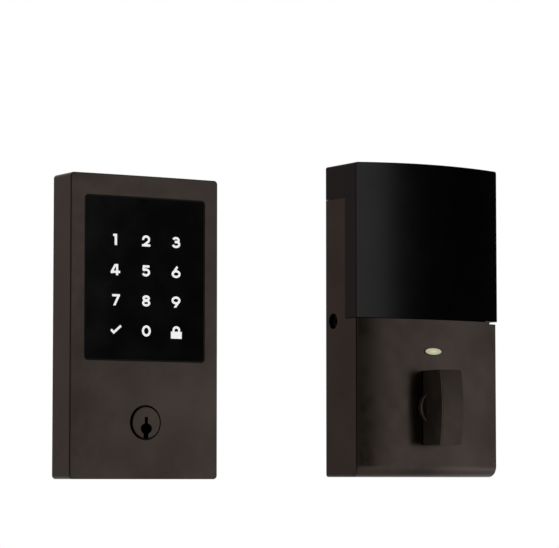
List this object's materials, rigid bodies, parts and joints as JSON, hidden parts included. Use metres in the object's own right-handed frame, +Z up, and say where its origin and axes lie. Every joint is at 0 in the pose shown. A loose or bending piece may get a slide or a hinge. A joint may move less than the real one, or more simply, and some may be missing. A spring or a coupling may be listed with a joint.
{
  "type": "keypad smart lock",
  "caption": "Touchscreen keypad lock: slab exterior unit with glass keypad and key cylinder, and interior unit with battery cover, status lens, thumb turn and geared motor.",
  "frame": {"origin": "on the door face, on the axis of the exterior key cylinder and torque blade", "axes": "+Y into the door, +Z up, +X from the exterior unit towards the interior unit; both units' fronts face -Y"},
  "size_m": [0.2127, 0.1001, 0.141],
  "materials": {
    "bronze": "satin, dark oil-rubbed bronze",
    "black_gloss": "gloss black",
    "black_plastic": "matt black",
    "grey_plastic": "matt grey",
    "white_plastic": "translucent white",
    "legend_white": "printed white",
    "dark_glass": "opaque black backed glass",
    "rubber": "black rubber",
    "board_green": "green solder mask",
    "chip_black": "moulded black",
    "steel": "zinc plated",
    "brass": "machined",
    "dark_brass": "oxidised brass",
    "black_steel": "black oxide",
    "zinc": "bare die-cast zinc",
    "acetal": "natural acetal",
    "cell_wrap": "printed wrapper",
    "lens_green": "pale green acrylic"
  },
  "bodies": {
    "base": {"escutcheon": "bronze", "glass_gasket": "rubber", "touch_glass": "dark_glass", "key_legends": "legend_white", "light_diffuser": "white_plastic", "touch_board": "board_green", "touch_board_screws": "steel", "backlight_leds": "white_plastic", "touch_controller": "chip_black", "beeper": "chip_black", "ext_back_plate": "steel", "plate_screws": "steel", "mounting_posts": "steel", "door_gasket": "rubber", "ext_cable_socket": "black_plastic", "cylinder_shell": "dark_brass", "pin_chamber_cover": "brass", "driver_pins": "brass", "pin_springs": "steel", "housing": "bronze", "mounting_plate": "steel", "side_screws": "black_steel", "battery_holder": "black_plastic", "battery_cells": "cell_wrap", "cell_contacts": "steel", "cell_springs": "steel", "main_board": "board_green", "board_spacers": "grey_plastic", "board_screws": "steel", "radio_module": "steel", "board_headers": "white_plastic", "switch_bodies": "chip_black", "status_led": "white_plastic", "status_lens": "lens_green", "status_bezel": "black_plastic", "gearbox_base": "grey_plastic", "gearbox_cover": "grey_plastic", "gearbox_screws": "steel", "gear_axles": "steel", "motor": "steel", "turn_bushing": "black_plastic"},
    "key_plug": {"key_plug": "bronze", "key_pins": "brass", "plug_clip": "steel", "torque_blade": "steel"},
    "turn_piece": {"turn_piece": "bronze", "spindle_hub": "zinc", "blade_adapter": "brass", "hub_screw": "steel"},
    "wheel_2": {"compound_wheel_2": "acetal"},
    "wheel_1": {"compound_wheel_1": "acetal"},
    "motor_rotor": {"motor_shaft": "steel", "motor_pinion": "brass"},
    "battery_cover": {"battery_cover": "black_gloss"},
    "program_button_a": {"program_button_a": "grey_plastic"},
    "program_button_b": {"program_button_b": "grey_plastic"}
  },
  "joints": [
    {"name": "key_turn", "type": "hinge", "parent": "base", "child": "key_plug", "pos_m": [0, 0, 0], "axis": [0, -1, 0], "range_deg": [-90, 90]},
    {"name": "thumb_turn", "type": "hinge", "parent": "base", "child": "turn_piece", "pos_m": [0.139, 0, 0.0078], "axis": [0, -1, 0], "range_deg": [-90, 90]},
    {"name": "wheel_2_spin", "type": "hinge", "parent": "base", "child": "wheel_2", "pos_m": [0.1593, 0, 0.00041], "axis": [0, -1, 0], "range_deg": [-315, 315]},
    {"name": "wheel_1_spin", "type": "hinge", "parent": "base", "child": "wheel_1", "pos_m": [0.1618, 0, 0.01459], "axis": [0, -1, 0], "range_deg": [-945, 945]},
    {"name": "motor_spin", "type": "hinge", "parent": "base", "child": "motor_rotor", "pos_m": [0.16075, 0, 0.02655], "axis": [0, -1, 0], "range_deg": [-2835, 2835]},
    {"name": "cover_slide", "type": "slide", "parent": "base", "child": "battery_cover", "axis": [0, 0, 1], "range_m": [0, 0.075]},
    {"name": "button_a_press", "type": "slide", "parent": "base", "child": "program_button_a", "axis": [0, 1, 0], "range_m": [0, 0.0004], "stiffness_N_per_m": 2000, "springref_m": -0.0002},
    {"name": "button_b_press", "type": "slide", "parent": "base", "child": "program_button_b", "axis": [0, 1, 0], "range_m": [0, 0.0004], "stiffness_N_per_m": 2000, "springref_m": -0.0002}
  ],
  "couplings": [
    {"joint": "wheel_2_spin", "follows": "thumb_turn", "ratio": -3.5},
    {"joint": "wheel_1_spin", "follows": "thumb_turn", "ratio": 10.5},
    {"joint": "motor_spin", "follows": "thumb_turn", "ratio": -31.5}
  ]
}
